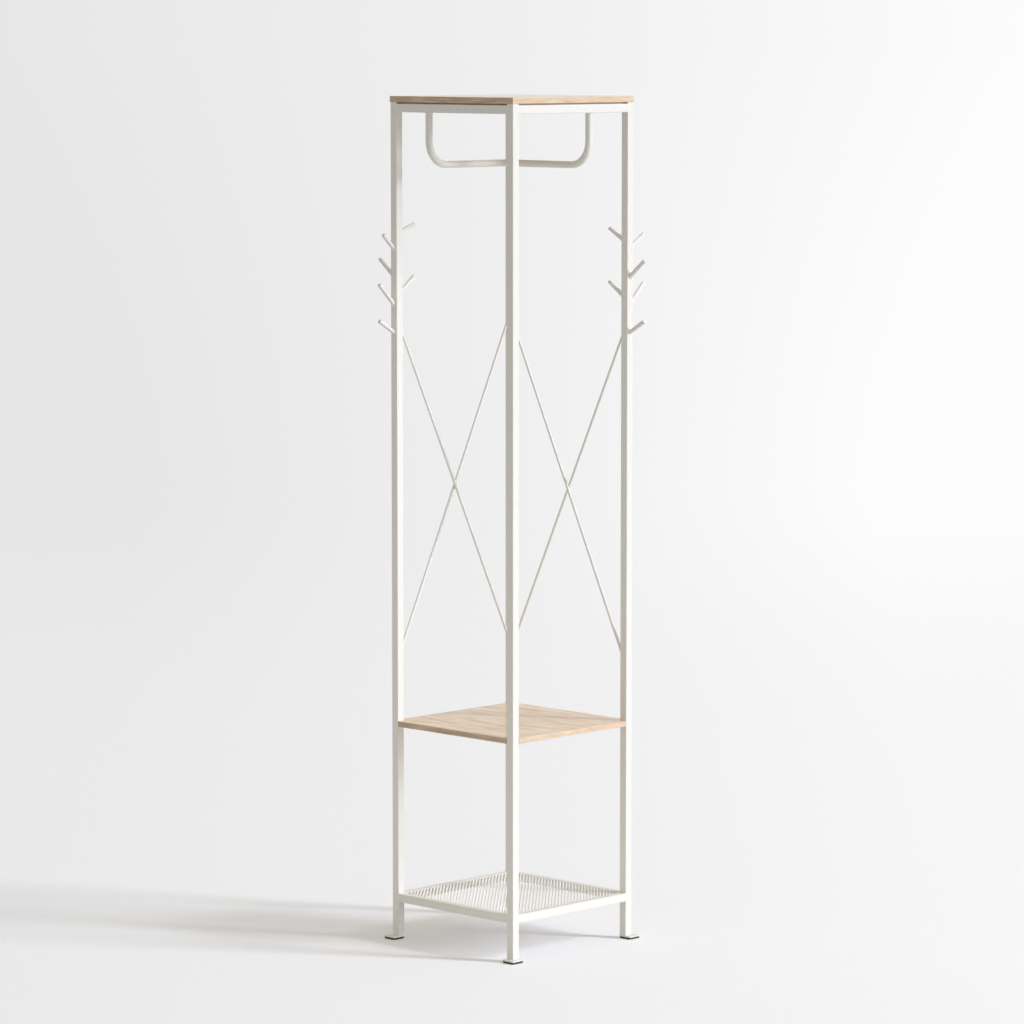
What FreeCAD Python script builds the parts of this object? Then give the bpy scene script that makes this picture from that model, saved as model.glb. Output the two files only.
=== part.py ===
import FreeCAD, Part
import math
import os

from FreeCAD import Vector

# Free-standing coat rack of welded square tube with two wooden boards, in millimetres.
# +Z is up and the origin is on the floor under the middle of the square plan.
# -Y is the open front and +X the open right side; the left and back sides are braced.

# Frame
frame_side = 362.0               # square plan, outer post face to outer post face
total_height = 1800.0            # floor to the top of the top board
tube_side = 18.0
tube_wall = 1.2
tube_corner_radius = 1.5
post_clearance = 0.4             # post faces to the notches of the boards
bottom_rail_top = 99.5           # floor to the tops of the bottom rails

# Feet
pad_thickness = 4.0
pad_inset = 0.5                  # pad edge inside the plate edge
foot_plate_thickness = 3.0
foot_overhang = 13.0             # plate beyond the two outer post faces
foot_corner_radius = 1.0

# Top board, rebated underneath so that a shadow gap shows between the posts, above the rails
top_board_thickness = 16.0
top_board_overhang = 1.0
shadow_gap_height = 3.0
shadow_gap_depth = 9.0           # from the outer post faces inwards
board_edge_radius = 0.8

# Shelf board, flush with the outer post faces and notched round the posts
shelf_top = 473.0                # floor to the shelf's upper face
shelf_thickness = 12.0

# Wires of the low shelf, side by side along the plan's front-right to back-left diagonal
wire_diameter = 4.5
wire_pitch = 6.75
wire_drop = 0.5                  # rail tops to wire tops
shortest_wire = 12.0
wire_skew = 2.0                  # degrees off the diagonal, back ends towards the right

# Hanging rail, one bent tube with turned-up ends
hanging_rail_diameter = 15.0
hanging_rail_wall = 1.2
hanging_rail_drop = 109.0        # undersides of the top rails to the tube's centre line
hanging_rail_from_left = 98.5    # left posts' centre line to the front-to-back leg
hanging_rail_from_back = 118.0   # back posts' centre line to the left-to-right leg
end_bend_radius = 50.0
corner_bend_radius = 18.0

# Crossed rods on the left and back sides
brace_diameter = 6.0
brace_crossing_gap = 0.1
brace_top_drop = 476.0           # tops of the top rails to the high ends
brace_shelf_gap = 143.0          # shelf's upper face to the low ends

# Pegs: each rises from the middle of a post face, a drop is from the rail tops to the peg's root
peg_diameter = 9.0
peg_tip_radius = 0.6
peg_reach = 42.0                 # post face to the middle of the tip
short_peg_reach = 30.0
first_peg_drop = 304.0
peg_spacing = 59.0
first_peg_rise = 29.0
second_peg_rise = 35.0
third_peg_rise = 43.0
fourth_peg_rise = 25.0
left_upper_inner_drop = 270.0
left_upper_inner_rise = 15.0
left_lower_inner_drop = 398.0
left_lower_inner_rise = 33.0
right_upper_inner_drop = 288.0
right_upper_inner_rise = 25.0
right_lower_inner_drop = 407.0
right_lower_inner_rise = 31.0

# Tabs and screws that hold the boards
tab_side = 26.0                  # free part of a tab, inside the post's inner corner
tab_thickness = 2.0
screw_diameter = 4.0
screw_point_length = 4.0
screw_point_radius = 0.4
screw_tip_cover = 3.0            # wood left above the screw's point
screw_hole_clearance = 0.2       # on the diameter
screw_head_diameter = 8.0
screw_head_height = 2.4
screw_head_radius = 0.9
screw_slot_width = 1.2
screw_slot_length = 4.6
screw_slot_depth = 1.3

# Places worked out from the sizes above
half_side = frame_side / 2
post_axis = half_side - tube_side / 2
inner_face = half_side - tube_side
rail_length = 2 * inner_face
post_bottom = pad_thickness + foot_plate_thickness
top_rail_top = total_height - top_board_thickness
top_rail_bottom = top_rail_top - tube_side
post_top = top_rail_top + shadow_gap_height
shelf_bottom = shelf_top - shelf_thickness
screw_offset = inner_face - tab_side / 2
screw_hole_radius = (screw_diameter + screw_hole_clearance) / 2
brace_high = top_rail_top - brace_top_drop
brace_low = shelf_top + brace_shelf_gap

up = Vector(0, 0, 1)
front = Vector(0, -1, 0)
right = Vector(1, 0, 0)
back = Vector(0, 1, 0)
left = Vector(-1, 0, 0)

# Each corner and side lies a quarter turn about Z further round than the one before it
corners = ("front_left", "front_right", "back_right", "back_left")
sides = ("front", "right", "back", "left")


def turned(shape, place, places=corners):
    """The shape turned about Z from the first corner or side to the named one."""
    shape.rotate(Vector(), up, 90 * places.index(place))
    return shape


def block(low, high):
    """A box between two opposite corners."""
    size = high - low
    return Part.makeBox(size.x, size.y, size.z, low)


def upright_edges(shape):
    """The straight edges of a prism that stand along Z."""
    boxes = [(edge, edge.BoundBox) for edge in shape.Edges]
    return [edge for edge, box in boxes if box.ZLength > box.XLength + box.YLength]


def square_tube(length):
    """A square tube that stands on the origin along +Z."""
    half_tube = tube_side / 2
    half_bore = half_tube - tube_wall
    outside = block(Vector(-half_tube, -half_tube, 0), Vector(half_tube, half_tube, length))
    outside = outside.makeFillet(tube_corner_radius, upright_edges(outside))
    bore = block(Vector(-half_bore, -half_bore, 0), Vector(half_bore, half_bore, length))
    return outside.cut(bore)


def post(corner):
    """A corner post from its foot plate to the underside of the top board."""
    tube = square_tube(post_top - post_bottom)
    tube.translate(Vector(-post_axis, -post_axis, post_bottom))
    return turned(tube, corner)


def rail(side, top):
    """A tube between two posts, flush with their outer faces."""
    tube = square_tube(rail_length)
    tube.rotate(Vector(), back, 90)
    tube.translate(Vector(-inner_face, -post_axis, top - tube_side / 2))
    return turned(tube, side, sides)


def foot_slab(corner, inset, bottom, top):
    """A rounded square under a post, level with the post's two inner faces before the inset."""
    outer = -half_side - foot_overhang + inset
    inner = -inner_face - inset
    slab = block(Vector(outer, outer, bottom), Vector(inner, inner, top))
    slab = slab.makeFillet(foot_corner_radius, upright_edges(slab))
    return turned(slab, corner)


def screw_holes(board_bottom, board_thickness):
    """Pilot holes in a board, one above each tab."""
    depth = board_thickness - screw_tip_cover + screw_hole_clearance
    place = Vector(-screw_offset, -screw_offset, board_bottom)
    return [turned(Part.makeCylinder(screw_hole_radius, depth, place), corner) for corner in corners]


def notched(board):
    """The board with a square notch at each corner, clear of the posts."""
    inner = -inner_face + post_clearance
    low, high = board.BoundBox.ZMin, board.BoundBox.ZMax
    gap = block(Vector(-half_side, -half_side, low), Vector(inner, inner, high))
    return board.cut([turned(gap.copy(), corner) for corner in corners])


def top_board():
    """The top board with eased edges, on a bearing that is notched round the posts."""
    edge = half_side + top_board_overhang
    reach = half_side - shadow_gap_depth
    slab = block(Vector(-edge, -edge, post_top), Vector(edge, edge, total_height))
    slab = slab.makeFillet(board_edge_radius, slab.Edges)
    bearing = notched(block(Vector(-reach, -reach, top_rail_top), Vector(reach, reach, post_top)))
    board = slab.fuse(bearing).removeSplitter()
    return board.cut(screw_holes(top_rail_top, top_board_thickness))


def shelf_board():
    """The shelf board with square notches for the posts and eased long edges."""
    corner = Vector(half_side, half_side, 0)
    board = notched(block(up * shelf_bottom - corner, up * shelf_top + corner))
    long_edges = [edge for edge in board.Edges if edge.Length > inner_face]
    board = board.makeFillet(board_edge_radius, long_edges)
    return board.cut(screw_holes(shelf_bottom, shelf_thickness))


def tab_hole(board_bottom):
    """The screw hole through a tab in the front left corner."""
    place = Vector(-screw_offset, -screw_offset, board_bottom - tab_thickness)
    return Part.makeCylinder(screw_hole_radius, tab_thickness, place)


def top_tab(corner):
    """A square plate welded into the corner of the top frame, level with the rail tops."""
    low = Vector(-inner_face, -inner_face, top_rail_top - tab_thickness)
    high = Vector(-inner_face + tab_side, -inner_face + tab_side, top_rail_top)
    return turned(block(low, high).cut(tab_hole(top_rail_top)), corner)


def shelf_tab(corner):
    """A plate under the shelf, notched round the inner corner of a post."""
    low = Vector(-post_axis, -post_axis, shelf_bottom - tab_thickness)
    high = Vector(-inner_face + tab_side, -inner_face + tab_side, shelf_bottom)
    notch = block(low, Vector(-inner_face, -inner_face, shelf_bottom))
    return turned(block(low, high).cut([notch, tab_hole(shelf_bottom)]), corner)


def screw(board_bottom, board_thickness):
    """A pan-head wood screw with a cross recess, upright in the front left corner."""
    seat = board_bottom - tab_thickness
    point_top = board_bottom + board_thickness - screw_tip_cover
    point_bottom = point_top - screw_point_length
    radius = screw_diameter / 2
    shank = Part.makeCylinder(radius, point_bottom - seat, Vector(0, 0, seat))
    point = Part.makeCone(radius, screw_point_radius, screw_point_length, Vector(0, 0, point_bottom))
    head_bottom = seat - screw_head_height
    head = Part.makeCylinder(screw_head_diameter / 2, screw_head_height, Vector(0, 0, head_bottom))
    rim = [edge for edge in head.Edges if edge.BoundBox.ZMax < head_bottom + screw_head_height / 2]
    head = head.makeFillet(screw_head_radius, rim)
    half_length = screw_slot_length / 2
    half_width = screw_slot_width / 2
    slot_top = head_bottom + screw_slot_depth
    crossed = ((half_length, half_width), (half_width, half_length))
    slots = [block(Vector(-x, -y, head_bottom), Vector(x, y, slot_top)) for x, y in crossed]
    whole = head.fuse([shank, point]).removeSplitter()
    whole = whole.cut(slots)
    whole.translate(Vector(-screw_offset, -screw_offset, 0))
    return whole


def screw_set(board_bottom, board_thickness):
    """The four screws of one board."""
    return Part.makeCompound([turned(screw(board_bottom, board_thickness), corner) for corner in corners])


def shelf_wires():
    """Parallel wires whose ends are cut to the inner faces of the bottom rails."""
    reach = inner_face * math.sqrt(2)
    turn = math.radians(45 - wire_skew)
    along = Vector(-math.sin(turn), math.cos(turn), 0)
    across = Vector(math.cos(turn), math.sin(turn), 0)
    radius = wire_diameter / 2
    level = bottom_rail_top - wire_drop - radius
    low = Vector(-inner_face, -inner_face, level - radius)
    high = Vector(inner_face, inner_face, level + radius)
    inside = block(low, high)
    last = int((reach - shortest_wire / 2 - radius) / wire_pitch)
    wires = []
    for index in range(-last, last + 1):
        middle = across * (index * wire_pitch) + up * level
        wire = Part.makeCylinder(radius, 2 * reach, middle - along * reach, along)
        wires.extend(wire.common(inside).Solids)
    return Part.makeCompound(wires)


def bent_path(points, radii):
    """Straight runs through the points, joined by tangent arcs of the given radii."""
    edges = []
    run_start = points[0]
    for before, corner, after, radius in zip(points, points[1:], points[2:], radii):
        incoming = (corner - before).normalize()
        outgoing = (after - corner).normalize()
        half_turn = incoming.getAngle(outgoing) / 2
        setback = radius * math.tan(half_turn)
        sagitta = radius / math.cos(half_turn) - radius
        arc_start = corner - incoming * setback
        arc_end = corner + outgoing * setback
        arc_middle = corner + (outgoing - incoming).normalize() * sagitta
        edges.append(Part.LineSegment(run_start, arc_start).toShape())
        edges.append(Part.Arc(arc_start, arc_middle, arc_end).toShape())
        run_start = arc_end
    edges.append(Part.LineSegment(run_start, points[-1]).toShape())
    return Part.Wire(edges)


def hanging_rail():
    """A bent tube: down from the front rail, back, across to the right and up to the right rail."""
    leg_x = -post_axis + hanging_rail_from_left
    leg_y = post_axis - hanging_rail_from_back
    level = top_rail_bottom - hanging_rail_drop
    points = [
        Vector(leg_x, -post_axis, top_rail_bottom),
        Vector(leg_x, -post_axis, level),
        Vector(leg_x, leg_y, level),
        Vector(post_axis, leg_y, level),
        Vector(post_axis, leg_y, top_rail_bottom),
    ]
    path = bent_path(points, [end_bend_radius, corner_bend_radius, end_bend_radius])
    outer_radius = hanging_rail_diameter / 2
    rods = []
    for radius in (outer_radius, outer_radius - hanging_rail_wall):
        section = Part.Wire(Part.makeCircle(radius, points[0], up))
        rods.append(path.makePipeShell([section], True, False))
    return rods[0].cut(rods[1])


def brace(side, inner):
    """A slanted rod between two posts; the inner rod of a pair rises the other way from the outer one."""
    sign = 1 if inner else -1
    offset = sign * (brace_diameter + brace_crossing_gap) / 2
    middle = Vector(0, -post_axis + offset, (brace_high + brace_low) / 2)
    slope = Vector(sign * rail_length, 0, brace_high - brace_low)
    rod = Part.makeCylinder(brace_diameter / 2, 2 * slope.Length, middle - slope, slope)
    between = block(Vector(-inner_face, -half_side, post_bottom), Vector(inner_face, -inner_face, post_top))
    return turned(rod.common(between).Solids[0], side, sides)


def peg(corner, outward, drop, reach, rise):
    """A round rod that rises from the middle of a post face to a flat tip."""
    centre = turned(Part.Vertex(-post_axis, -post_axis, top_rail_top - drop), corner).Point
    slope = outward * reach + up * rise
    root = centre + outward * (tube_side / 2)
    buried = slope * (peg_diameter / slope.Length)
    rod = Part.makeCylinder(peg_diameter / 2, slope.Length + peg_diameter, root - buried, slope)
    tip = root + slope
    rim = [edge for edge in rod.Edges if edge.BoundBox.Center.distanceToPoint(tip) < peg_tip_radius]
    rod = rod.makeFillet(peg_tip_radius, rim)
    half_tube = Vector(tube_side / 2, tube_side / 2, tube_side)
    return rod.cut(block(centre - half_tube, centre + half_tube))


def outer_pegs(corner, outwards, reaches):
    """The four pegs on the outer faces of a post, evenly spaced down it."""
    rises = (first_peg_rise, second_peg_rise, third_peg_rise, fourth_peg_rise)
    made = {}
    for index, (outward, reach, rise) in enumerate(zip(outwards, reaches, rises)):
        drop = first_peg_drop + index * peg_spacing
        made[f"peg_{corner}_{index + 1}"] = peg(corner, outward, drop, reach, rise)
    return made


def inner_pegs():
    """The pegs on the faces that look along the braced sides."""
    upper_left = peg("front_left", back, left_upper_inner_drop, peg_reach, left_upper_inner_rise)
    lower_left = peg("front_left", back, left_lower_inner_drop, peg_reach, left_lower_inner_rise)
    upper_right = peg("back_right", left, right_upper_inner_drop, peg_reach, right_upper_inner_rise)
    lower_right = peg("back_right", left, right_lower_inner_drop, peg_reach, right_lower_inner_rise)
    return {
        "peg_front_left_inner_upper": upper_left,
        "peg_front_left_inner_lower": lower_left,
        "peg_back_right_inner_upper": upper_right,
        "peg_back_right_inner_lower": lower_right,
    }


def frame_pieces():
    """Posts, rails, feet and tabs, one of each for every corner or side."""
    made = {}
    for corner in corners:
        made[f"post_{corner}"] = post(corner)
        made[f"foot_plate_{corner}"] = foot_slab(corner, 0, pad_thickness, post_bottom)
        made[f"foot_pad_{corner}"] = foot_slab(corner, pad_inset, 0, pad_thickness)
        made[f"top_tab_{corner}"] = top_tab(corner)
        made[f"shelf_tab_{corner}"] = shelf_tab(corner)
    for side in sides:
        made[f"top_rail_{side}"] = rail(side, top_rail_top)
        made[f"bottom_rail_{side}"] = rail(side, bottom_rail_top)
    return made


def all_pieces():
    """Every piece of the rack by its node name."""
    made = frame_pieces()
    made["brace_left_front_high"] = brace("left", True)
    made["brace_left_back_high"] = brace("left", False)
    made["brace_back_left_high"] = brace("back", True)
    made["brace_back_right_high"] = brace("back", False)
    long_row = (peg_reach, peg_reach, peg_reach, peg_reach)
    short_row = (short_peg_reach, peg_reach, peg_reach, peg_reach)
    made.update(outer_pegs("front_left", (front, left, front, front), short_row))
    made.update(outer_pegs("back_right", (back, right, back, right), long_row))
    made.update(inner_pegs())
    made["hanging_rail"] = hanging_rail()
    made["shelf_wires"] = shelf_wires()
    made["top_board"] = top_board()
    made["shelf_board"] = shelf_board()
    made["top_board_screws"] = screw_set(top_rail_top, top_board_thickness)
    made["shelf_board_screws"] = screw_set(shelf_bottom, shelf_thickness)
    return made


os.makedirs("parts", exist_ok=True)
for node, shape in all_pieces().items():
    shape.exportStep(f"parts/{node}.step")
    print(f"{node}: {len(shape.Solids)} solids, valid {shape.isValid()}, {shape.Volume:.0f} mm3")
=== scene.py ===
import math

import bpy
import numpy as np
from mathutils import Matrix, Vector


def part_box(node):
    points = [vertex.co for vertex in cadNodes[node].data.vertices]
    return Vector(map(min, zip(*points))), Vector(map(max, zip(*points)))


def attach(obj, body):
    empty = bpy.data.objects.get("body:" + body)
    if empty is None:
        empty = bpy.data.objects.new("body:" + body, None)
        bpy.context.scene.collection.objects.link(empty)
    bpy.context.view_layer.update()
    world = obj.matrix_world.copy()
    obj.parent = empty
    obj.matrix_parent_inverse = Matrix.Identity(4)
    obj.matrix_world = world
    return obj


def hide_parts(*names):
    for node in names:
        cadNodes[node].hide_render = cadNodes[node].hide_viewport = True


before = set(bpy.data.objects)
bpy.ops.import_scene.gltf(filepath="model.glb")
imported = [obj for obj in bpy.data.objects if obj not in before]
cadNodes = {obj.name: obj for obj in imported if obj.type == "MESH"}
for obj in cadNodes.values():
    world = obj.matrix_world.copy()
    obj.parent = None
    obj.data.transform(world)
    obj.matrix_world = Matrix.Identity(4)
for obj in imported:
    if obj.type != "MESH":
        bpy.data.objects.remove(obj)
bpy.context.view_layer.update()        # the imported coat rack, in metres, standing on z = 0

scene = bpy.context.scene
scene.view_settings.view_transform = "Standard"
corners = ("front_left", "front_right", "back_right", "back_left")
sides = ("front", "right", "back", "left")
print("frame loaded:", len(cadNodes), "CAD nodes")


# Node trees

def addNode(tree, kind, inputs=None, **settings):
    made = tree.nodes.new(kind)
    for name, value in settings.items():
        setattr(made, name, value)
    # an input takes a number, a colour or another node's output
    for name, value in (inputs or {}).items():
        if isinstance(value, bpy.types.NodeSocket):
            tree.links.new(value, made.inputs[name])
        else:
            made.inputs[name].default_value = value
    return made


def calc(tree, operation, first, second=0.0, third=0.0):
    inputs = {0: first, 1: second, 2: third}
    return addNode(tree, "ShaderNodeMath", inputs, operation=operation).outputs[0]


def mixColor(tree, factor, first, second, blend="MIX"):
    inputs = {0: factor, 6: first, 7: second}
    return addNode(tree, "ShaderNodeMix", inputs, data_type="RGBA", blend_type=blend).outputs[2]


def remap(tree, value, fromLow, fromHigh, toLow, toHigh, curve="LINEAR"):
    inputs = {0: value, 1: fromLow, 2: fromHigh, 3: toLow, 4: toHigh}
    return addNode(tree, "ShaderNodeMapRange", inputs, interpolation_type=curve).outputs[0]


def stretched(tree, vector, factors):
    inputs = {0: vector, 1: factors}
    return addNode(tree, "ShaderNodeVectorMath", inputs, operation="MULTIPLY").outputs[0]


def noise(tree, vector, scale, detail=2.0, roughness=0.5):
    inputs = {"Vector": vector, "Scale": scale, "Detail": detail, "Roughness": roughness}
    return addNode(tree, "ShaderNodeTexNoise", inputs).outputs[0]


def bumped(tree, height, depth, strength):
    inputs = {"Height": height, "Distance": depth, "Strength": strength}
    return addNode(tree, "ShaderNodeBump", inputs).outputs[0]


def newGroup(name, inputs, outputs):
    group = bpy.data.node_groups.new(name, "ShaderNodeTree")
    for label, kind, value in inputs:
        socket = group.interface.new_socket(label, in_out="INPUT", socket_type="NodeSocket" + kind)
        if value is not None:
            socket.default_value = value
    for label, kind in outputs:
        group.interface.new_socket(label, in_out="OUTPUT", socket_type="NodeSocket" + kind)
    return group, addNode(group, "NodeGroupInput").outputs, addNode(group, "NodeGroupOutput").inputs


def useGroup(tree, group, inputs):
    return addNode(tree, "ShaderNodeGroup", inputs, node_tree=group).outputs


def wire(tree, outputs, made):
    for label, socket in made.items():
        tree.links.new(socket, outputs[label])


def newMaterial(name):
    material = bpy.data.materials.new(name)
    material.use_nodes = True
    tree = material.node_tree
    tree.nodes.clear()
    surface = addNode(tree, "ShaderNodeOutputMaterial").inputs["Surface"]
    place = addNode(tree, "ShaderNodeTexCoord").outputs
    return material, tree, surface, place


# Shared effects

def makeMottle():        # broad cloudiness and a fine grain of the finish, both about 0.5
    group, given, made = newGroup(
        "surfaceMottle",
        [("Vector", "Vector", None), ("Broad Scale", "Float", 6.0), ("Fine Scale", "Float", 400.0)],
        [("Broad", "Float"), ("Fine", "Float")])
    broad = noise(group, given["Vector"], given["Broad Scale"], detail=3.0, roughness=0.55)
    fine = noise(group, given["Vector"], given["Fine Scale"], detail=3.0, roughness=0.6)
    wire(group, made, {"Broad": broad, "Fine": fine})
    return group


def makeOrangePeel():    # low round waves of a sprayed or baked coat, with finer pimples on top
    group, given, made = newGroup(
        "orangePeel",
        [("Vector", "Vector", None), ("Wave Scale", "Float", 700.0), ("Pimple Share", "Float", 0.3)],
        [("Height", "Float")])
    pimplesToWave = 3.1
    pimpleScale = calc(group, "MULTIPLY", given["Wave Scale"], pimplesToWave)
    waves = noise(group, given["Vector"], given["Wave Scale"], detail=1.0, roughness=0.4)
    pimples = noise(group, given["Vector"], pimpleScale, detail=2.0, roughness=0.5)
    height = calc(group, "MULTIPLY_ADD", pimples, given["Pimple Share"], waves)
    wire(group, made, {"Height": height})
    return group


def makeEdgeWear():      # the mesh's own edge mark, broken up by noise
    group, given, made = newGroup(
        "edgeWear",
        [("Vector", "Vector", None), ("Patch Scale", "Float", 60.0), ("Amount", "Float", 0.5)],
        [("Wear", "Float")])
    mark = addNode(group, "ShaderNodeAttribute", attribute_name="edgeMark").outputs["Fac"]
    cloud = noise(group, given["Vector"], given["Patch Scale"], detail=4.0, roughness=0.65)
    patches = remap(group, cloud, 0.4, 0.7, 0.0, 1.0)
    wear = calc(group, "MULTIPLY", calc(group, "MULTIPLY", mark, patches), given["Amount"])
    wire(group, made, {"Wear": wear})
    return group


def makeFloorDust():     # settles on the lowest centimetres, thinner higher up
    group, given, made = newGroup(
        "floorDust",
        [("Vector", "Vector", None), ("Reach", "Float", 0.06), ("Amount", "Float", 0.5)],
        [("Dust", "Float")])
    patchScale = 90.0
    height = addNode(group, "ShaderNodeSeparateXYZ", {0: given["Vector"]}).outputs[2]
    low = remap(group, height, 0.0, given["Reach"], 1.0, 0.0, "SMOOTHSTEP")
    cloud = noise(group, given["Vector"], patchScale, detail=4.0, roughness=0.6)
    patches = remap(group, cloud, 0.3, 0.75, 0.2, 1.0)
    dust = calc(group, "MULTIPLY", calc(group, "MULTIPLY", low, patches), given["Amount"])
    wire(group, made, {"Dust": dust})
    return group


grainForm = {                # waves to a metre, along the grain and across it
    "sway": (2.6, 9.0, 1.0),
    "bands": (11.0, 38.0, 1.0),
    "streaks": (4.0, 150.0, 1.0),
    "fibres": (14.0, 900.0, 1.0),
    "tints": (2.0, 14.0, 1.0),
    "pores": (38.0, 1300.0, 1.0),
    "figure": (5.0, 11.0, 1.0),
    "swayReach": 0.04,       # metres to either side
    "bandShare": 0.48,       # the streaks make up the rest
    "fibreShare": 0.6,
    "warmShare": 0.55,
    "poreShare": 0.45,
    "poreRoughness": 0.16,
    "poreHeight": -0.6,
}


def makeOakGrain(use):
    # streaks along the map's first axis: broad bands, growth streaks, fibres and short pores, swaying a
    # little, with a figure that makes bands and streaks bolder in one place and quieter in another
    group, given, made = newGroup(
        "oakGrain",
        [("Vector", "Vector", None), ("Light", "Color", None), ("Dark", "Color", None),
         ("Warm", "Color", None), ("Pore", "Color", None), ("Contrast", "Float", 1.0)],
        [("Color", "Color"), ("Roughness", "Float"), ("Height", "Float")])

    def layer(place, name, detail, roughness):
        return noise(group, stretched(group, place, use[name]), 1.0, detail, roughness)

    reach = use["swayReach"]
    sway = remap(group, layer(given["Vector"], "sway", 2.0, 0.5), 0.0, 1.0, -reach, reach)
    shift = addNode(group, "ShaderNodeCombineXYZ", {1: sway}).outputs[0]
    along = addNode(group, "ShaderNodeVectorMath", {0: given["Vector"], 1: shift}).outputs[0]
    bands = layer(along, "bands", 2.0, 0.5)
    streaks = layer(along, "streaks", 5.0, 0.65)
    fibres = layer(along, "fibres", 3.0, 0.6)
    tints = layer(along, "tints", 1.0, 0.5)
    pores = remap(group, layer(along, "pores", 1.0, 0.4), 0.60, 0.72, 0.0, 1.0)
    figure = remap(group, layer(along, "figure", 1.0, 0.5), 0.35, 0.65, 0.5, 1.4)
    rest = calc(group, "MULTIPLY", streaks, 1 - use["bandShare"])
    mixed = calc(group, "MULTIPLY_ADD", bands, use["bandShare"], rest)
    strength = calc(group, "MULTIPLY", figure, given["Contrast"])
    tone = calc(group, "MULTIPLY_ADD", calc(group, "SUBTRACT", mixed, 0.5), strength, 0.5)
    shade = calc(group, "MULTIPLY_ADD", calc(group, "SUBTRACT", fibres, 0.5), use["fibreShare"], tone)
    warmth = remap(group, tints, 0.45, 0.7, 0.0, use["warmShare"])
    color = mixColor(group, shade, given["Light"], given["Dark"])
    color = mixColor(group, warmth, color, given["Warm"])
    color = mixColor(group, calc(group, "MULTIPLY", pores, use["poreShare"]), color, given["Pore"])
    smooth = remap(group, shade, 0.2, 0.8, 0.42, 0.52)
    roughness = calc(group, "MULTIPLY_ADD", pores, use["poreRoughness"], smooth)
    height = calc(group, "MULTIPLY_ADD", pores, use["poreHeight"], fibres)
    wire(group, made, {"Color": color, "Roughness": roughness, "Height": height})
    return group


mottle = makeMottle()
orangePeel = makeOrangePeel()
edgeWear = makeEdgeWear()
floorDust = makeFloorDust()
oakGrain = makeOakGrain(grainForm)
print("shared effects:", len(bpy.data.node_groups), "node groups")


# Finishes

def cloudsOn(tree, spot, use):
    inputs = {"Vector": spot, "Broad Scale": use["cloudScale"], "Fine Scale": use["fineScale"]}
    return useGroup(tree, mottle, inputs)


def wearOn(tree, spot, use):
    inputs = {"Vector": spot, "Patch Scale": use["wearScale"], "Amount": use["wearAmount"]}
    return useGroup(tree, edgeWear, inputs)["Wear"]


def dustOn(tree, spot, use):
    inputs = {"Vector": spot, "Reach": use["dustReach"], "Amount": use["dustAmount"]}
    return useGroup(tree, floorDust, inputs)["Dust"]


def fineRoughness(tree, fine, use):      # the least roughness and what the fine grain adds to it
    return calc(tree, "MULTIPLY_ADD", fine, use["roughnessSpread"], use["roughness"])


whiteSteel = {
    "coat": (0.880, 0.872, 0.842, 1.0),        # warm white powder coat
    "coatDeep": (0.862, 0.853, 0.820, 1.0),    # where the coat lies a little thicker
    "thinEdge": (0.74, 0.73, 0.70, 1.0),       # where it is thin over an edge
    "dust": (0.66, 0.64, 0.60, 1.0),
    "cloudScale": 5.0,
    "fineScale": 520.0,
    "wearScale": 45.0,
    "wearAmount": 0.35,
    "dustReach": 0.05,                         # metres above the floor
    "dustAmount": 0.25,
    "peelScale": 650.0,
    "pimpleShare": 0.35,
    "peelDepth": 0.00004,
    "peelStrength": 0.5,
    "roughness": 0.36,
    "roughnessSpread": 0.14,
    "dustRoughness": 0.4,
    "specular": 0.45,
}
wireCoatPaintedLight = {                                   # paler white on the thin wires: painted light, standing in for more light on the wires than the lamps give them under the shelf
    **whiteSteel,
    "coat": (0.955, 0.950, 0.938, 1.0),
    "coatDeep": (0.940, 0.934, 0.920, 1.0),
    "peelDepth": 0.00003,
}


def makeWhiteSteel(name, use):
    material, tree, surface, place = newMaterial(name)
    spot = place["Object"]
    cloud = cloudsOn(tree, spot, use)
    dust = dustOn(tree, spot, use)
    peel = useGroup(tree, orangePeel, {
        "Vector": spot, "Wave Scale": use["peelScale"], "Pimple Share": use["pimpleShare"]})
    color = mixColor(tree, cloud["Broad"], use["coat"], use["coatDeep"])
    color = mixColor(tree, wearOn(tree, spot, use), color, use["thinEdge"])
    color = mixColor(tree, dust, color, use["dust"])
    roughness = fineRoughness(tree, cloud["Fine"], use)
    roughness = calc(tree, "MULTIPLY_ADD", dust, use["dustRoughness"], roughness)
    shader = addNode(tree, "ShaderNodeBsdfPrincipled", {
        "Base Color": color, "Roughness": roughness, "Specular IOR Level": use["specular"],
        "Normal": bumped(tree, peel["Height"], use["peelDepth"], use["peelStrength"])})
    tree.links.new(shader.outputs[0], surface)
    return material


oak = {
    "face": {
        "light": (0.907, 0.686, 0.450, 1.0),
        "dark": (0.690, 0.466, 0.269, 1.0),
        "warm": (0.864, 0.592, 0.369, 1.0),
        "contrast": 6.2,
        "stretch": (1.0, 1.0),                 # how much finer the grain is, along and across
    },
    # These long-edge tones are painted shade: darker and browner than the end edges, standing in for the
    # shade on the long edges.
    "longEdgePaintedShade": {
        "light": (0.735, 0.565, 0.405, 1.0),
        "dark": (0.410, 0.280, 0.170, 1.0),
        "warm": (0.630, 0.442, 0.298, 1.0),
        "contrast": 4.4,
        "stretch": (1.6, 5.0),
    },
    "endEdge": {
        "light": (0.885, 0.715, 0.545, 1.0),
        "dark": (0.645, 0.452, 0.294, 1.0),
        "warm": (0.845, 0.617, 0.432, 1.0),
        "contrast": 3.8,
        "stretch": (2.2, 4.5),
    },
    "pore": (0.420, 0.285, 0.175, 1.0),
    "poreDepth": 0.00006,
    "poreStrength": 0.6,
    "worn": (0.86, 0.76, 0.64, 1.0),           # lacquer rubbed off the eased edges
    "wearScale": 30.0,
    "wearAmount": 0.4,
    "cloudScale": 9.0,
    "fineScale": 300.0,
    "cloudRoughness": 0.08,
    "specular": 0.4,
    "lacquer": 0.60,
    "lacquerRoughness": 0.05,
}


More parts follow.
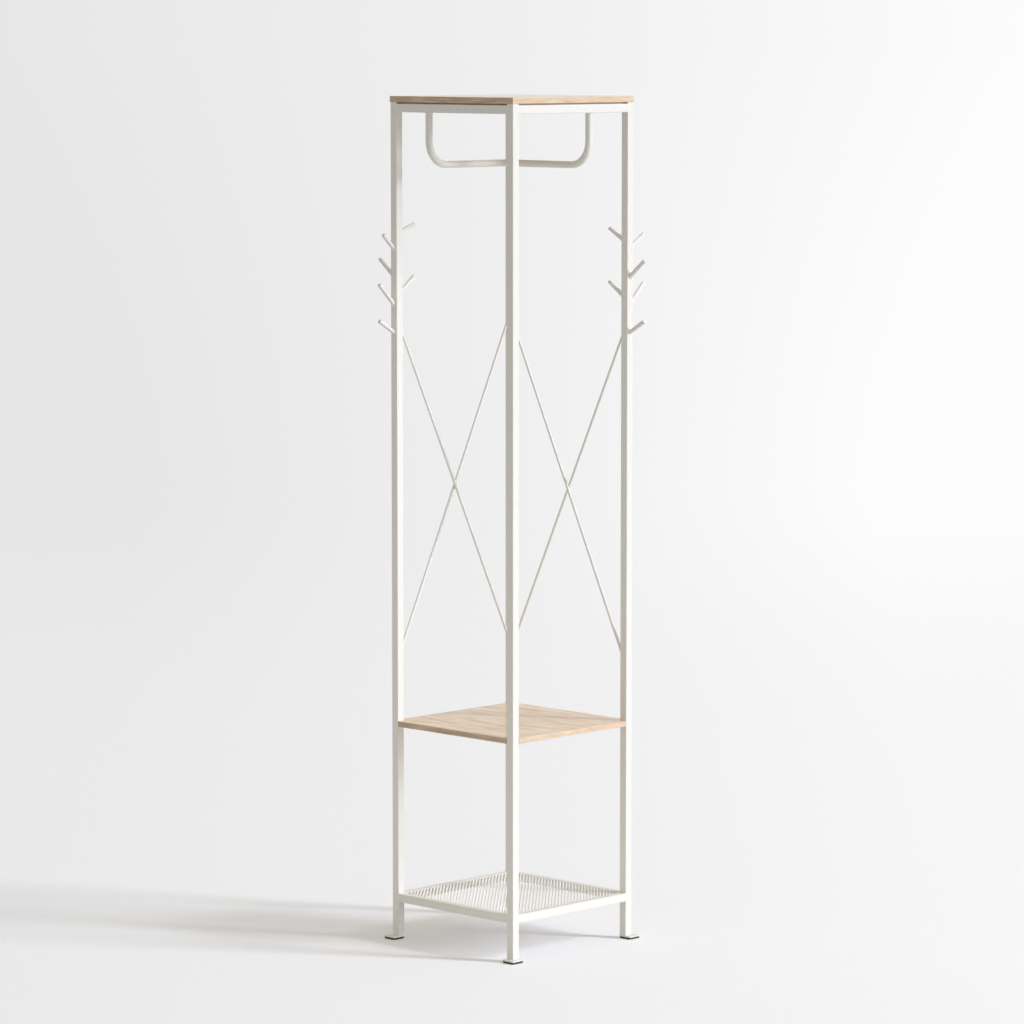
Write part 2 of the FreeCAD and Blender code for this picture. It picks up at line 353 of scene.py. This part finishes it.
def makeOak(part, use):
    tones = use[part]
    material, tree, surface, place = newMaterial("oak" + part.title())
    grain = useGroup(tree, oakGrain, {
        "Vector": place["UV"], "Light": tones["light"], "Dark": tones["dark"], "Warm": tones["warm"],
        "Pore": use["pore"], "Contrast": tones["contrast"]})
    cloud = cloudsOn(tree, place["Object"], use)
    color = mixColor(tree, wearOn(tree, place["Object"], use), grain["Color"], use["worn"])
    roughness = calc(tree, "MULTIPLY_ADD", cloud["Broad"], use["cloudRoughness"], grain["Roughness"])
    shader = addNode(tree, "ShaderNodeBsdfPrincipled", {
        "Base Color": color, "Roughness": roughness, "Specular IOR Level": use["specular"],
        "Normal": bumped(tree, grain["Height"], use["poreDepth"], use["poreStrength"]),
        "Coat Weight": use["lacquer"], "Coat Roughness": use["lacquerRoughness"]})
    tree.links.new(shader.outputs[0], surface)
    return material


rubber = {
    "black": (0.016, 0.016, 0.016, 1.0),
    "bloom": (0.050, 0.050, 0.049, 1.0),       # grey bloom of the compound
    "dust": (0.20, 0.195, 0.185, 1.0),
    "cloudScale": 40.0,
    "fineScale": 900.0,
    "wearScale": 120.0,
    "wearAmount": 0.5,
    "dustReach": 0.004,
    "dustAmount": 0.3,
    "textureDepth": 0.00008,
    "textureStrength": 0.6,
    "roughness": 0.62,
    "roughnessSpread": 0.25,
    "specular": 0.3,
}


def makeRubber(use):
    material, tree, surface, place = newMaterial("blackRubber")
    spot = place["Object"]
    cloud = cloudsOn(tree, spot, use)
    dusty = calc(tree, "MAXIMUM", wearOn(tree, spot, use), dustOn(tree, spot, use))
    color = mixColor(tree, cloud["Broad"], use["black"], use["bloom"])
    color = mixColor(tree, dusty, color, use["dust"])
    shader = addNode(tree, "ShaderNodeBsdfPrincipled", {
        "Base Color": color, "Roughness": fineRoughness(tree, cloud["Fine"], use),
        "Normal": bumped(tree, cloud["Fine"], use["textureDepth"], use["textureStrength"]),
        "Specular IOR Level": use["specular"]})
    tree.links.new(shader.outputs[0], surface)
    return material


screwZinc = {
    "bright": (0.66, 0.67, 0.69, 1.0),
    "dull": (0.48, 0.49, 0.50, 1.0),
    "cloudScale": 150.0,
    "fineScale": 2500.0,
    "grainDepth": 0.00002,
    "grainStrength": 0.5,
    "roughness": 0.22,
    "roughnessSpread": 0.3,
}


def makeScrewZinc(use):
    material, tree, surface, place = newMaterial("zincPlate")
    cloud = cloudsOn(tree, place["Object"], use)
    color = mixColor(tree, cloud["Broad"], use["bright"], use["dull"])
    shader = addNode(tree, "ShaderNodeBsdfPrincipled", {
        "Base Color": color, "Roughness": fineRoughness(tree, cloud["Fine"], use), "Metallic": 1.0,
        "Normal": bumped(tree, cloud["Fine"], use["grainDepth"], use["grainStrength"])})
    tree.links.new(shader.outputs[0], surface)
    return material


steel = makeWhiteSteel("whitePowderCoat", whiteSteel)
# the wires take a paler coat, which is painted light
wireSteelPaintedLight = makeWhiteSteel("whiteWireCoatPaintedLight", wireCoatPaintedLight)
oakParts = ("face", "longEdgePaintedShade", "endEdge")
oakFinishes = [makeOak(part, oak) for part in oakParts]
blackRubber = makeRubber(rubber)
zinc = makeScrewZinc(screwZinc)
print("finishes:", len(bpy.data.materials), "materials")


# Meshes from grids

def ringQuads(rows, columns, closed):
    # quads between neighbouring rows; every row closes on itself, and the last row joins the first
    # if closed
    row = np.arange(rows if closed else rows - 1)[:, None]
    column = np.arange(columns)[None, :]
    nextRow = (row + 1) % rows
    nextColumn = (column + 1) % columns
    quad = np.broadcast_arrays(row * columns + column, row * columns + nextColumn,
                               nextRow * columns + nextColumn, nextRow * columns + column)
    return np.stack(quad, axis=-1).reshape(-1, 4)


def facingOut(points, quads):
    # the sum of corner triple products about the middle is positive when the quads face outwards
    p = points.reshape(-1, 3) - points.reshape(-1, 3).mean(axis=0)
    a, b, c, d = (p[quads[:, k]] for k in range(4))
    return np.sum(a * np.cross(b, c)) + np.sum(a * np.cross(c, d)) > 0


def nodeBox(node):       # lowest and highest corner of a CAD node
    return [np.array(corner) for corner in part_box(node)]


sharpAngle = math.radians(35)                        # edges with a sharper turn than this stay crisp


def newPiece(name, grid, materials, stoodFor=(), closed=False, mark=None):
    # grid holds solids, rows, columns and xyz; an open grid gets a flat face at its first and last row
    solids, rows, columns = grid.shape[:3]
    quads = ringQuads(rows, columns, closed)
    ring = np.arange(columns)
    caps = [] if closed else [ring[::-1], ring + (rows - 1) * columns]
    if not facingOut(grid[0], quads):
        quads = quads[:, ::-1]
        caps = [cap[::-1] for cap in caps]
    starts = np.arange(solids) * rows * columns
    faces = (quads[None] + starts[:, None, None]).reshape(-1, 4).tolist()
    for cap in caps:
        faces += (cap[None] + starts[:, None]).tolist()
    mesh = bpy.data.meshes.new(name)
    mesh.from_pydata(grid.reshape(-1, 3).tolist(), [], faces, shade_flat=False)
    mesh.set_sharp_from_angle(angle=sharpAngle)
    if mark is not None:
        marks = np.broadcast_to(mark, grid.shape[:3]).astype(np.float32)
        mesh.attributes.new("edgeMark", "FLOAT", "POINT").data.foreach_set("value", marks.ravel())
    for material in materials:
        mesh.materials.append(material)
    piece = bpy.data.objects.new(name, mesh)
    scene.collection.objects.link(piece)
    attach(piece, "root")
    if stoodFor:
        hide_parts(*stoodFor)
    return piece


quarterTurns = np.array([[[1, 0], [0, 1]], [[0, -1], [1, 0]], [[-1, 0], [0, -1]], [[0, 1], [-1, 0]]])


def roundedSquare(half, radius, steps, support):
    # four quarter circles about the corner centres, joined by straight sides; a support point
    # beside each quarter keeps the shading of the flats level. The mark is 1 at the middle of a corner.
    turn = np.linspace(0.0, math.pi / 2, steps + 1)
    arc = half - radius + radius * np.column_stack((np.cos(turn), np.sin(turn)))
    quarter = np.vstack((arc[:1] - (0.0, support), arc, arc[-1:] - (support, 0.0)))
    mark = np.concatenate(([0.0], np.sin(2 * turn), [0.0]))
    return np.einsum("kij,nj->kni", quarterTurns, quarter).reshape(-1, 2), np.tile(mark, 4)


# Square tubes

squareTube = {
    "wall": 0.0012,
    "cornerRadius": 0.0015,
    "cornerSteps": 6,
    "support": 0.0004,
}


def makeTube(node, overlap, use):
    # the rounded square carried along the node's longest side: outside there, inside back, closed at
    # both ends
    low, high = nodeBox(node)
    axis = int(np.argmax(high - low))
    across, upwards = (axis + 1) % 3, (axis + 2) % 3
    half = (high - low)[across] / 2
    outer, mark = roundedSquare(half, use["cornerRadius"], use["cornerSteps"], use["support"])
    inner = outer * (1 - use["wall"] / half)
    grid = np.empty((1, 4, len(outer), 3))
    grid[...] = (low + high) / 2
    for row, (outline, end) in enumerate(((outer, low), (outer, high), (inner, high), (inner, low))):
        reach = overlap if end is high else -overlap
        grid[0, row, :, axis] = end[axis] + reach
        grid[0, row, :, across] += outline[:, 0]
        grid[0, row, :, upwards] += outline[:, 1]
    marks = np.vstack((mark, mark, 0 * mark, 0 * mark))
    return newPiece(node + "_tube", grid, [steel], [node], closed=True, mark=marks)


for corner in corners:
    makeTube(f"post_{corner}", 0.0, squareTube)
for side in sides:                                   # a rail's ground weld fills the post's round corner
    makeTube(f"top_rail_{side}", squareTube["cornerRadius"], squareTube)
    makeTube(f"bottom_rail_{side}", squareTube["cornerRadius"], squareTube)
print("square tubes: 4 posts and 8 rails")


# Round rods

roundRod = {
    "sides": 28,
    "weld": 0.0014,          # concave weld round a rod's root
    "weldSteps": 5,
    "tipRadius": 0.0006,
    "tipSteps": 4,
}


def unit(vector):
    return np.asarray(vector, float) / np.linalg.norm(vector)


def weldRows(radius, use):
    # a quarter circle, hollow side out: distance from the face and ring radius
    turn = np.linspace(0.0, math.pi / 2, use["weldSteps"] + 1)
    return use["weld"] * (1 - np.cos(turn)), radius + use["weld"] * (1 - np.sin(turn))


def rodGrid(root, direction, face, along, radius, slant, sidesRound):
    # circles of the given radius at each distance along the axis; a row with slant 1 is sheared into a
    # plane parallel to the face that the rod stands on, and one with slant 0 is square to the axis
    first = unit(np.cross(face, direction))
    second = np.cross(direction, first)
    turn = np.linspace(0.0, 2 * math.pi, sidesRound, endpoint=False)[:, None]
    spoke = np.cos(turn) * first + np.sin(turn) * second
    shear = -(spoke @ face) / (direction @ face)
    along, radius, slant = (np.asarray(row)[:, None] for row in (along, radius, slant))
    travel = along + slant * radius * shear
    return (root + radius[:, :, None] * spoke + travel[:, :, None] * direction)[None]


def settle(estimate, rounds=30):
    # repeats an estimate of a slope until it stands still
    slope = 0.5
    for _ in range(rounds):
        slope = estimate(slope)
    return slope


pegs = {
    "front_left": {"1": (0, -1, 0), "2": (-1, 0, 0), "3": (0, -1, 0), "4": (0, -1, 0),
                   "inner_upper": (0, 1, 0), "inner_lower": (0, 1, 0)},
    "back_right": {"1": (0, 1, 0), "2": (1, 0, 0), "3": (0, 1, 0), "4": (1, 0, 0),
                   "inner_upper": (-1, 0, 0), "inner_lower": (-1, 0, 0)},
}


def makePeg(node, outward, use):
    low, high = nodeBox(node)
    face = np.array(outward, float)
    size = high - low
    radius = min(size) / 2                           # the side across the peg is its diameter
    tip = use["tipRadius"]

    def reachAt(angle):                              # the box's depth, less what the slanting tip adds
        return abs(size @ face) - tip * (1 - math.cos(angle)) - (radius - tip) * math.sin(angle)

    def riseAt(angle):                               # the box's height, less what tip and root add
        rise = size[2] + tip * math.sin(angle) - (radius - tip) * math.cos(angle)
        return rise - tip - radius / math.cos(angle)

    angle = settle(lambda a: math.atan2(riseAt(a), reachAt(a)))
    direction = face * math.cos(angle) + np.array([0.0, 0.0, math.sin(angle)])
    root = (low + high) / 2
    flat = np.argmax(np.abs(face))
    root[flat] = low[flat] if face[flat] > 0 else high[flat]
    root[2] = low[2] + radius / math.cos(angle)
    weldAway, weldRadius = weldRows(radius, use)
    turn = np.linspace(0.0, math.pi / 2, use["tipSteps"] + 1)
    length = reachAt(angle) / math.cos(angle)
    along = np.concatenate((weldAway / math.cos(angle), length - tip + tip * np.sin(turn)))
    rings = np.concatenate((weldRadius, radius - tip + tip * np.cos(turn)))
    slant = np.concatenate((np.ones_like(weldAway), np.zeros_like(turn)))
    mark = np.concatenate((np.zeros_like(weldAway), np.sin(2 * turn)))[:, None]
    grid = rodGrid(root, direction, face, along, rings, slant, use["sides"])
    return newPiece(node + "_rod", grid, [steel], [node], mark=mark)


for corner, row in pegs.items():
    for number, outward in row.items():
        makePeg(f"peg_{corner}_{number}", outward, roundRod)
print("pegs: 12 with welded roots")


braces = {                                           # the level direction in which each rod rises
    "brace_left_front_high": (0, -1, 0),
    "brace_left_back_high": (0, 1, 0),
    "brace_back_left_high": (-1, 0, 0),
    "brace_back_right_high": (1, 0, 0),
}


def makeBrace(node, rising, use):
    low, high = nodeBox(node)
    face = np.array(rising, float)
    size = high - low
    span = abs(size @ face)
    radius = min(size) / 2
    angle = settle(lambda a: math.atan2(size[2] - 2 * radius / math.cos(a), span))
    direction = face * math.cos(angle) + np.array([0.0, 0.0, math.sin(angle)])
    length = span / math.cos(angle)
    root = (low + high) / 2 - direction * length / 2
    weldAway, weldRadius = weldRows(radius, use)
    along = np.concatenate((weldAway / math.cos(angle), length - weldAway[::-1] / math.cos(angle)))
    rings = np.concatenate((weldRadius, weldRadius[::-1]))
    grid = rodGrid(root, direction, face, along, rings, np.ones_like(along), use["sides"])
    return newPiece(node + "_rod", grid, [steel], [node])


for node, rising in braces.items():
    makeBrace(node, rising, roundRod)
print("braces: 4 crossed rods")


# Hanging rail

hangingRail = {
    "radius": 0.0075,
    "endBend": 0.050,
    "cornerBend": 0.018,
    "bendSteps": 18,
    "sides": 32,
    "weld": 0.0020,
    "weldSteps": 5,
}


def bentPath(points, radii, steps):
    # straight runs joined by arcs: start, then every arc's points, then the end, with their directions
    places, directions = [points[:1]], [unit(points[1] - points[0])[None]]
    for before, corner, after, radius in zip(points, points[1:], points[2:], radii):
        arriving, leaving = unit(corner - before), unit(after - corner)
        half = math.acos(arriving @ leaving) / 2
        turn = np.linspace(0.0, 2 * half, steps + 1)[:, None]
        outwards = unit(arriving - leaving)
        centre = corner - outwards * radius / math.cos(half)
        start = corner - arriving * radius * math.tan(half)
        places.append(centre + (start - centre) * np.cos(turn) + arriving * radius * np.sin(turn))
        directions.append(arriving * np.cos(turn) - unit(start - centre) * np.sin(turn))
    places.append(points[-1:])
    directions.append(directions[-1][-1:])
    return np.vstack(places), np.vstack(directions)


def carriedAxis(directions, first):
    # a ring axis carried along the path: at each step it loses its part along the new direction
    axes = [unit(first)]
    for direction in directions[1:]:
        axes.append(unit(axes[-1] - direction * (axes[-1] @ direction)))
    return np.array(axes)


def makeHangingRail(node, use):
    low, high = nodeBox(node)
    radius = use["radius"]
    legX, legY, level, top = low[0] + radius, high[1] - radius, low[2] + radius, high[2]
    nearY, farX = low[1] + radius, high[0] - radius
    points = np.array([(legX, nearY, top), (legX, nearY, level), (legX, legY, level),
                       (farX, legY, level), (farX, legY, top)])
    bends = (use["endBend"], use["cornerBend"], use["endBend"])
    places, directions = bentPath(points, bends, use["bendSteps"])
    weldAway, weldRadius = weldRows(radius, use)
    down = weldAway[:, None] * directions[:1]
    up = weldAway[::-1, None] * directions[-1:]
    places = np.vstack((places[:1] + down, places[1:-1], places[-1:] - up))
    directions = np.vstack((np.repeat(directions[:1], len(down), axis=0), directions[1:-1],
                            np.repeat(directions[-1:], len(up), axis=0)))
    plain = np.full(len(places) - 2 * len(weldRadius), radius)
    rings = np.concatenate((weldRadius, plain, weldRadius[::-1]))
    first = carriedAxis(directions, (1.0, 0.0, 0.0))
    second = np.cross(directions, first)
    turn = np.linspace(0.0, 2 * math.pi, use["sides"], endpoint=False)[None, :, None]
    spokes = np.cos(turn) * first[:, None] + np.sin(turn) * second[:, None]
    grid = (places[:, None] + rings[:, None, None] * spokes)[None]
    return newPiece(node + "_tube", grid, [steel], [node])


makeHangingRail("hanging_rail", hangingRail)
print("hanging rail: one bent tube")


# Shelf wires

shelfWires = {
    "count": 65,
    "pitch": 0.00675,
    "skew": 2.0,             # degrees off the diagonal
    "sides": 14,
    "sunk": 0.0004,          # into the welds on the rails' inner faces
}


def makeShelfWires(node, use):
    # each wire is two circles about a slanting line; a point runs along it until x or y meets the
    # inner face of a rail: the nearer of the two on either side
    low, high = nodeBox(node)
    radius = (high[2] - low[2]) / 2
    level = (high[2] + low[2]) / 2
    turn = np.linspace(0.0, 2 * math.pi, use["sides"], endpoint=False)
    offset = (np.arange(use["count"]) - (use["count"] - 1) / 2) * use["pitch"]
    across = offset[:, None] + radius * np.cos(turn)
    reach = high[0] + use["sunk"]
    slant = math.radians(45.0 - use["skew"])
    c, s = math.cos(slant), math.sin(slant)
    start = np.maximum((across * c - reach) / s, (-reach - across * s) / c)
    end = np.minimum((across * c + reach) / s, (reach - across * s) / c)
    along = np.stack((start, end), axis=1)
    across = np.broadcast_to(across[:, None], along.shape)
    rise = np.broadcast_to(level + radius * np.sin(turn), along.shape)
    grid = np.stack((across * c - along * s, across * s + along * c, rise), axis=-1)
    return newPiece(node + "_rods", grid, [wireSteelPaintedLight], [node])


makeShelfWires("shelf_wires", shelfWires)
print("shelf wires:", shelfWires["count"])


# Boards and feet

def notchedSquare(half, notch, support):
    # a square with a square notch at each corner, seven points to a corner as on a rounded one of
    # four steps
    middle = (half + notch) / 2
    corner = np.array([(half, notch - support), (half, notch), (middle, notch), (notch, notch),
                       (notch, middle), (notch, half), (notch - support, half)])
    return np.einsum("kij,nj->kni", quarterTurns, corner).reshape(-1, 2)


def slabGrid(centre, outline, profile):
    # the outline drawn in towards the centre by each profile row's inset, at that row's height
    half = np.abs(outline).max()
    inset, height = np.array(profile).T
    flat = centre + outline[None] * (1 - inset / half)[:, None, None]
    rise = np.broadcast_to(height[:, None], flat.shape[:2])
    return np.dstack((flat, rise))[None]


def easedProfile(bottom, top, radius, steps, support):
    # from the underside round a quarter circle to the side, up it, and round another to the upper face
    turn = np.linspace(0.0, math.pi / 2, steps + 1)
    lower = np.column_stack((radius * (1 - np.sin(turn)), bottom + radius * (1 - np.cos(turn))))
    upper = np.column_stack((lower[::-1, 0], bottom + top - lower[::-1, 1]))
    rows = np.vstack(([(radius + support, bottom)], lower, [(0.0, lower[-1, 1] + support)],
                      [(0.0, upper[0, 1] - support)], upper, [(radius + support, top)]))
    edge = np.sin(2 * turn)
    mark = np.concatenate(([0.0], edge, [0.0, 0.0], edge[::-1], [0.0]))
    return rows, mark


def mapGrain(piece, use):
    # flat faces lie along x; edge strips follow their own length, each from another part of the pattern
    flattest, apart = 0.7, 2.0       # normal's rise from which a face is flat, and metres between parts
    mesh = piece.data
    faceCount, loopCount = len(mesh.polygons), len(mesh.loops)
    normal = np.empty(faceCount * 3)
    mesh.polygons.foreach_get("normal", normal)
    normal = np.abs(normal.reshape(-1, 3))
    total = np.empty(faceCount, int)
    mesh.polygons.foreach_get("loop_total", total)
    vertex = np.empty(loopCount, int)
    mesh.loops.foreach_get("vertex_index", vertex)
    place = np.empty(len(mesh.vertices) * 3)
    mesh.vertices.foreach_get("co", place)
    place = place.reshape(-1, 3)[vertex]
    isEdge = normal[:, 2] < flattest
    alongY = normal[:, 0] > normal[:, 1]
    edgeLoop, sideLoop = np.repeat(isEdge, total), np.repeat(alongY, total)
    along = np.where(edgeLoop & sideLoop, place[:, 1], place[:, 0])
    aside = np.where(sideLoop, place[:, 0], place[:, 1])
    strip = place[:, 2] + np.sign(aside) * apart + sideLoop
    across = np.where(edgeLoop, strip, place[:, 1] + place[:, 2])
    # the long edges, facing ±y, take the darker finish that is painted shade
    part = np.where(isEdge, np.where(alongY, 2, 1), 0)       # as in oakParts
    stretch = np.array([use[name]["stretch"] for name in oakParts])[np.repeat(part, total)]
    uv = (np.column_stack((along, across)) * stretch).astype(np.float32)
    mesh.uv_layers.new(name="grainMap").data.foreach_set("uv", uv.ravel())
    mesh.polygons.foreach_set("material_index", part)


def postInside():        # from the rack's axis to the posts' inner faces
    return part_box("post_front_right")[0][0]


topBoard = {
    "rebateHeight": 0.003,
    "rebateDepth": 0.010,
    "postClearance": 0.0004,
    "easing": 0.0008,
    "easingSteps": 4,
    "support": 0.0006,
}


def makeTopBoard(node, use):
    low, high = nodeBox(node)
    outline, _ = roundedSquare(high[0], use["easing"], use["easingSteps"], use["support"])
    slabBottom = low[2] + use["rebateHeight"]
    rows, mark = easedProfile(slabBottom, high[2], use["easing"], use["easingSteps"], use["support"])
    middle = (low[:2] + high[:2]) / 2
    notch = postInside() - use["postClearance"]
    bearing = notchedSquare(high[0] - use["rebateDepth"], notch, use["support"])
    grid = np.concatenate((slabGrid(middle, bearing, [(0.0, low[2]), (0.0, slabBottom)]),
                           slabGrid(middle, outline, rows)), axis=1)
    mark = np.concatenate(([0.0, 0.0], mark))
    piece = newPiece(node + "_slab", grid, oakFinishes, [node], mark=mark[:, None])
    mapGrain(piece, oak)


shelfBoard = {
    "postClearance": 0.0004,
    "easing": 0.0008,
    "easingSteps": 4,
    "support": 0.0006,
}


def makeShelfBoard(node, use):
    low, high = nodeBox(node)
    outline = notchedSquare(high[0], postInside() - use["postClearance"], use["support"])
    rows, mark = easedProfile(low[2], high[2], use["easing"], use["easingSteps"], use["support"])
    grid = slabGrid((low[:2] + high[:2]) / 2, outline, rows)
    piece = newPiece(node + "_slab", grid, oakFinishes, [node], mark=mark[:, None])
    mapGrain(piece, oak)


makeTopBoard("top_board", topBoard)
makeShelfBoard("shelf_board", shelfBoard)
print("boards: top and shelf")


feet = {
    "cornerRadius": 0.001,
    "cornerSteps": 5,
    "plateEasing": 0.0005,
    "padEasing": 0.0009,
    "easingSteps": 3,
    "support": 0.0003,
}


def makeFoot(node, easing, material, use):
    low, high = nodeBox(node)
    half = (high - low)[0] / 2
    outline, _ = roundedSquare(half, use["cornerRadius"], use["cornerSteps"], use["support"])
    rows, mark = easedProfile(low[2], high[2], easing, use["easingSteps"], use["support"])
    grid = slabGrid((low[:2] + high[:2]) / 2, outline, rows)
    newPiece(node + "_slab", grid, [material], [node], mark=mark[:, None])


for corner in corners:
    makeFoot(f"foot_plate_{corner}", feet["plateEasing"], steel, feet)
    makeFoot(f"foot_pad_{corner}", feet["padEasing"], blackRubber, feet)
print("feet: 4 plates on 4 pads")


# CAD pieces that keep their own mesh

for name, node in cadNodes.items():
    isScrews = name.endswith("_screws")
    if isScrews or "_tab_" in name:
        node.data.materials.clear()
        node.data.materials.append(zinc if isScrews else steel)
print("tabs and screws finished")


# Camera

viewpoint = {
    "azimuth": 44.58,        # degrees round from the front
    "distance": 9.225,       # level distance from the rack's axis
    "height": 1.926,
    "pitch": 6.2235,         # degrees down
    "focal": 4368.8,         # in pixels of the frame
    "frame": 1024,
    "sensor": 36.0,          # millimetres across the frame
    "clipEnd": 2000.0,
}


def makeCamera(use):
    data = bpy.data.cameras.new("viewpoint")
    data.sensor_width = use["sensor"]
    data.lens = use["focal"] / use["frame"] * use["sensor"]
    data.clip_end = use["clipEnd"]
    camera = bpy.data.objects.new("viewpoint", data)
    turn, away = math.radians(use["azimuth"]), use["distance"]
    camera.location = (math.sin(turn) * away, -math.cos(turn) * away, use["height"])
    camera.rotation_euler = (math.radians(90 - use["pitch"]), 0.0, turn)
    scene.collection.objects.link(camera)
    scene.camera = camera


makeCamera(viewpoint)


# Light, floor and backdrop

studio = {
    "keyFrom": 30.0,         # degrees from +X towards +Y
    # steps of the tall narrow light: degrees above the horizon and watts per square metre
    "keySteps": ((2.0, 0.20), (7.5, 0.29), (13.0, 0.44), (19.0, 0.45), (25.0, 0.18), (31.0, 0.17),
                 (37.0, 0.33), (43.0, 0.32)),
    "keySize": 9.0,          # degrees across, of each step
    "keyTint": (0.972, 1.0, 1.085),
    "fill": (0.512, 0.492, 0.434, 1.0),      # skylight from all round
    "floorLight": (0.782, 0.771, 0.728),     # light on the open floor, by which its colour is divided
    "bounce": 1.0,           # how pale the floor is for the light that it throws back
    "skyDistance": 1000.0,   # at which the sky takes its grey from the backdrop
}
backdrop = {
    "rightwards": (0.7105, 0.7037),                  # across the picture, on the floor
    "halfWidth": 1.08,       # metres from the axis to the picture's edge, at the rack
    "spread": 0.125,         # and as a share of the distance further off
    # the near and far tones grow paler to the right: painted light, a falloff towards the key light's
    # side
    "near": (0.822, 0.863, 0.928),                   # left, middle and right of the near floor
    "far": (0.790, 0.863, 0.980),
    "fadeFrom": 2.5,
    "fadeTo": 9.5,
    "floorRadius": 400.0,
    "rings": 7,
    "ringGrowth": 4.0,       # how many times wider each ring is than the last
    "ringSides": 96,
}


def makeBackdropTone(use):   # grey of the floor or backdrop by its place, paler from left to right: a painted light falloff towards the key light's side
    group, given, made = newGroup(
        "backdropTone", [("Vector", "Vector", None)], [("Tone", "Color"), ("Far", "Float")])
    inputs = {0: given["Vector"], 1: (*use["rightwards"], 0.0)}
    aside = addNode(group, "ShaderNodeVectorMath", inputs, operation="DOT_PRODUCT").outputs[1]
    flat = stretched(group, given["Vector"], (1.0, 1.0, 0.0))
    away = addNode(group, "ShaderNodeVectorMath", {0: flat}, operation="LENGTH").outputs[1]
    scaled = calc(group, "MULTIPLY", away, use["spread"])
    width = calc(group, "SQRT", calc(group, "MULTIPLY_ADD", scaled, scaled, use["halfWidth"] ** 2))
    share = remap(group, calc(group, "DIVIDE", aside, width), -1.0, 1.0, 0.0, 1.0)
    ramps = []
    for tones in (use["near"], use["far"]):
        ramp = addNode(group, "ShaderNodeValToRGB", {0: share})
        stops = ramp.color_ramp.elements
        stops.new(0.5)
        for stop, tone in zip(stops, tones):
            stop.color = (tone, tone, tone, 1.0)
        ramps.append(ramp.outputs[0])
    far = remap(group, away, use["fadeFrom"], use["fadeTo"], 0.0, 1.0, "SMOOTHSTEP")
    wire(group, made, {"Tone": mixColor(group, far, *ramps), "Far": far})
    return group


backdropTone = makeBackdropTone(backdrop)


def seenDirectly(tree):      # 1 for the camera and for reflections and refractions of the backdrop
    path = addNode(tree, "ShaderNodeLightPath").outputs
    shiny = calc(tree, "MAXIMUM", path["Is Glossy Ray"], path["Is Transmission Ray"])
    return calc(tree, "MAXIMUM", path["Is Camera Ray"], shiny)


def makeFloor(use, light):
    material, tree, surface, place = newMaterial("paleFloor")
    tone = useGroup(tree, backdropTone, {"Vector": place["Object"]})
    seen = seenDirectly(tree)
    near = calc(tree, "MULTIPLY", calc(tree, "SUBTRACT", 1.0, tone["Far"]), light["bounce"])
    inputs = {0: tone["Tone"], "Scale": near}
    thrown = addNode(tree, "ShaderNodeVectorMath", inputs, operation="SCALE").outputs[0]
    unlit = [1 / level for level in light["floorLight"]] + [1.0]
    shown = mixColor(tree, 1.0, tone["Tone"], unlit, "MULTIPLY")
    grey = mixColor(tree, seen, thrown, shown)       # the far floor throws no light on the rack
    lit = addNode(tree, "ShaderNodeBsdfDiffuse", {"Color": grey})
    plain = addNode(tree, "ShaderNodeEmission", {"Color": tone["Tone"]})
    share = calc(tree, "MULTIPLY", tone["Far"], seen)
    mixed = addNode(tree, "ShaderNodeMixShader", {0: share, 1: lit.outputs[0], 2: plain.outputs[0]})
    tree.links.new(mixed.outputs[0], surface)
    # rings about the axis, each several times wider than the last
    radius = use["floorRadius"] / use["ringGrowth"] ** np.arange(use["rings"] - 1, -1, -1)
    turn = np.linspace(0.0, 2 * math.pi, use["ringSides"], endpoint=False)
    ring = np.column_stack((np.cos(turn), np.sin(turn), np.zeros_like(turn)))
    points = (radius[:, None, None] * ring).reshape(-1, 3)
    faces = ringQuads(len(radius), len(turn), False)[:, ::-1].tolist() + [list(range(len(turn)))]
    mesh = bpy.data.meshes.new("floor")
    mesh.from_pydata(points.tolist(), [], faces)
    mesh.materials.append(material)
    floor = bpy.data.objects.new("floor", mesh)
    scene.collection.objects.link(floor)


def pointTowards(azimuth, height):
    turn, rise = math.radians(azimuth), math.radians(height)
    return Vector((math.cos(rise) * math.cos(turn), math.cos(rise) * math.sin(turn), math.sin(rise)))


def makeWorld(light):
    world = bpy.data.worlds.new("studio")
    world.use_nodes = True
    tree = world.node_tree
    tree.nodes.clear()
    way = addNode(tree, "ShaderNodeTexCoord").outputs["Generated"]
    sky = addNode(tree, "ShaderNodeBackground", {"Color": light["fill"]})
    far = stretched(tree, way, [light["skyDistance"]] * 3)
    tone = useGroup(tree, backdropTone, {"Vector": far})["Tone"]
    plain = addNode(tree, "ShaderNodeBackground", {"Color": tone})
    inputs = {0: seenDirectly(tree), 1: sky.outputs[0], 2: plain.outputs[0]}
    mixed = addNode(tree, "ShaderNodeMixShader", inputs)
    out = addNode(tree, "ShaderNodeOutputWorld")
    tree.links.new(mixed.outputs[0], out.inputs["Surface"])
    scene.world = world


def makeKeyLight(light):
    # one sun above the other, so that their soft shadows run into one long one
    for height, level in light["keySteps"]:
        data = bpy.data.lights.new("key", "SUN")
        data.energy = level
        data.color = light["keyTint"]
        data.angle = math.radians(light["keySize"])
        key = bpy.data.objects.new("key", data)
        key.rotation_euler = pointTowards(light["keyFrom"], height).to_track_quat("Z", "Y").to_euler()
        scene.collection.objects.link(key)


makeFloor(backdrop, studio)
makeWorld(studio)
makeKeyLight(studio)
print("studio: floor, skylight and key light")
